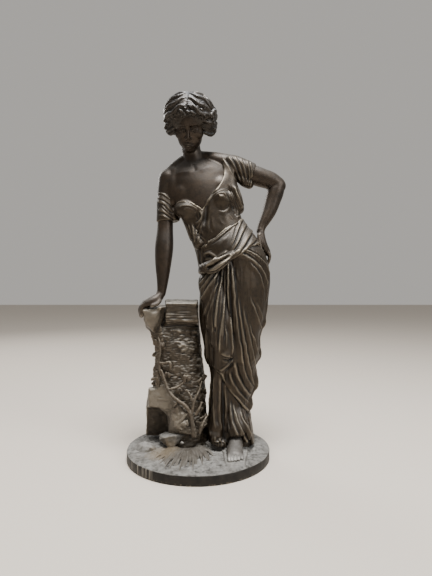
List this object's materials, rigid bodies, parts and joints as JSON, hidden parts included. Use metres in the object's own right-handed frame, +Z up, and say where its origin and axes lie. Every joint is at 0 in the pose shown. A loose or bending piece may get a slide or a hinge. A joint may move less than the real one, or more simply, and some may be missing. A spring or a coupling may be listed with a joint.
{
  "type": "bronze statue of a woman",
  "caption": "Dark bronze statue of a standing woman in a slipped gown and mantle, leaning on an ivy-grown broken pillar, cast with its round plinth.",
  "frame": {"origin": "centre of the plinth's flat underside", "axes": "+Z up through the figure; -Y towards the front, which the toes point to; +X towards the figure's left hand, which is on her hip"},
  "size_m": [0.2419, 0.214, 0.551],
  "materials": {
    "bronze": "cast bronze with a dark brown patina, worn to light grey on the ground, the pillar's top and the toes, near black on the rim"
  },
  "bodies": {
    "root": {"woman_statue": "bronze"}
  },
  "joints": []
}
